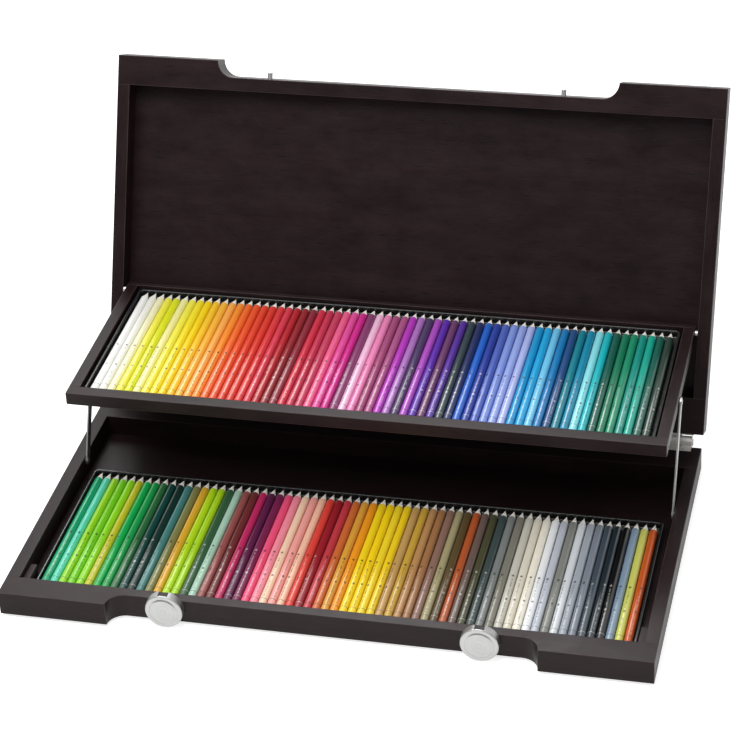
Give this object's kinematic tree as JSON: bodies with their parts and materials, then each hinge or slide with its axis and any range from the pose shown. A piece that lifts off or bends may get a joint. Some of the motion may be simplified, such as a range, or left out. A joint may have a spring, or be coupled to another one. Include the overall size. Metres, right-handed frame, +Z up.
{
  "type": "folding pencil case",
  "caption": "Dark wooden pencil case, open: a shallow base and a hinged lid, with a tray of colour pencils that lift arms raise level above the pencils in the base; two turning knobs lock it.",
  "frame": {"origin": "in the plane of the feet's undersides, under the middle of the open case's box", "axes": "+X to the case's right as seen from its front, along the long side; +Y to the rear, towards the hinges; +Z up"},
  "size_m": [0.58, 0.4836, 0.3248],
  "materials": {
    "stained_wood": "dark stained, open-pored satin",
    "lacquered_tinplate": "dark grey lacquer, satin",
    "nickelled_steel": "nickel plated",
    "brushed_steel": "brushed",
    "turned_aluminium": "turned, satin anodised",
    "nylon_bush": "moulded",
    "rubber_foot": "matt",
    "lacquer_lower_greens": "gloss lacquered cedar",
    "lacquer_lower_golds": "gloss lacquered cedar",
    "lacquer_lower_roses": "gloss lacquered cedar",
    "lacquer_lower_reds": "gloss lacquered cedar",
    "lacquer_lower_yellows": "gloss lacquered cedar",
    "lacquer_lower_browns": "gloss lacquered cedar",
    "lacquer_lower_greys": "gloss lacquered cedar",
    "lacquer_upper_yellows": "gloss lacquered cedar",
    "lacquer_upper_oranges": "gloss lacquered cedar",
    "lacquer_upper_reds": "gloss lacquered cedar",
    "lacquer_upper_pinks": "gloss lacquered cedar",
    "lacquer_upper_violets": "gloss lacquered cedar",
    "lacquer_upper_blues": "gloss lacquered cedar",
    "lacquer_upper_greens": "gloss lacquered cedar"
  },
  "bodies": {
    "base": {"base_front_rail": "stained_wood", "base_rear_rail": "stained_wood", "base_left_rail": "stained_wood", "base_right_rail": "stained_wood", "base_bottom_panel": "stained_wood", "tray_rests": "stained_wood", "feet": "rubber_foot", "lower_tin": "lacquered_tinplate", "hinge_base_leaves": "nickelled_steel", "hinge_pins": "nickelled_steel", "hinge_base_screws": "nickelled_steel", "arm_pivot_screws": "brushed_steel", "knob_bushes": "nylon_bush", "lower_pencils_greens": "lacquer_lower_greens", "lower_pencils_golds": "lacquer_lower_golds", "lower_pencils_roses": "lacquer_lower_roses", "lower_pencils_reds": "lacquer_lower_reds", "lower_pencils_yellows": "lacquer_lower_yellows", "lower_pencils_browns": "lacquer_lower_browns", "lower_pencils_greys": "lacquer_lower_greys"},
    "lid": {"lid_front_rail": "stained_wood", "lid_rear_rail": "stained_wood", "lid_left_rail": "stained_wood", "lid_right_rail": "stained_wood", "lid_panel": "stained_wood", "hinge_lid_leaves": "nickelled_steel", "hinge_lid_screws": "nickelled_steel", "tray_pivot_pins": "brushed_steel", "lid_pegs": "turned_aluminium"},
    "upper_tray": {"tray_front_rail": "stained_wood", "tray_rear_rail": "stained_wood", "tray_left_rail": "stained_wood", "tray_right_rail": "stained_wood", "tray_bottom_panel": "stained_wood", "upper_tin": "lacquered_tinplate", "arm_top_pins": "brushed_steel", "upper_pencils_yellows": "lacquer_upper_yellows", "upper_pencils_oranges": "lacquer_upper_oranges", "upper_pencils_reds": "lacquer_upper_reds", "upper_pencils_pinks": "lacquer_upper_pinks", "upper_pencils_violets": "lacquer_upper_violets", "upper_pencils_blues": "lacquer_upper_blues", "upper_pencils_greens": "lacquer_upper_greens"},
    "arm_left": {"lift_arm_left": "brushed_steel"},
    "arm_right": {"lift_arm_right": "brushed_steel"},
    "knob_left": {"knob_left": "turned_aluminium", "knob_spindle_left": "brushed_steel", "knob_clip_left": "brushed_steel"},
    "knob_right": {"knob_right": "turned_aluminium", "knob_spindle_right": "brushed_steel", "knob_clip_right": "brushed_steel"}
  },
  "joints": [
    {"name": "lid_hinge", "type": "hinge", "parent": "base", "child": "lid", "pos_m": [0, 0.0857, 0.026], "axis": [1, 0, 0], "range_deg": [0, 114]},
    {"name": "tray_pivot", "type": "hinge", "parent": "lid", "child": "upper_tray", "pos_m": [0, 0.12993, 0.11796], "axis": [1, 0, 0], "range_deg": [-114, 0]},
    {"name": "arm_left_pivot", "type": "hinge", "parent": "base", "child": "arm_left", "pos_m": [-0.2765, -0.0233, 0.021], "axis": [1, 0, 0], "range_deg": [0, 114]},
    {"name": "arm_right_pivot", "type": "hinge", "parent": "base", "child": "arm_right", "pos_m": [0.2765, -0.0233, 0.021], "axis": [1, 0, 0], "range_deg": [0, 114]},
    {"name": "knob_left_turn", "type": "hinge", "parent": "base", "child": "knob_left", "pos_m": [-0.14, -0.2308, 0.0182], "axis": [0, 1, 0], "range_deg": [0, 90]},
    {"name": "knob_right_turn", "type": "hinge", "parent": "base", "child": "knob_right", "pos_m": [0.14, -0.2308, 0.0182], "axis": [0, 1, 0], "range_deg": [0, 90]}
  ],
  "couplings": [
    {"joint": "tray_pivot", "follows": "lid_hinge", "ratio": -1},
    {"joint": "arm_left_pivot", "follows": "lid_hinge", "ratio": 1},
    {"joint": "arm_right_pivot", "follows": "lid_hinge", "ratio": 1}
  ]
}
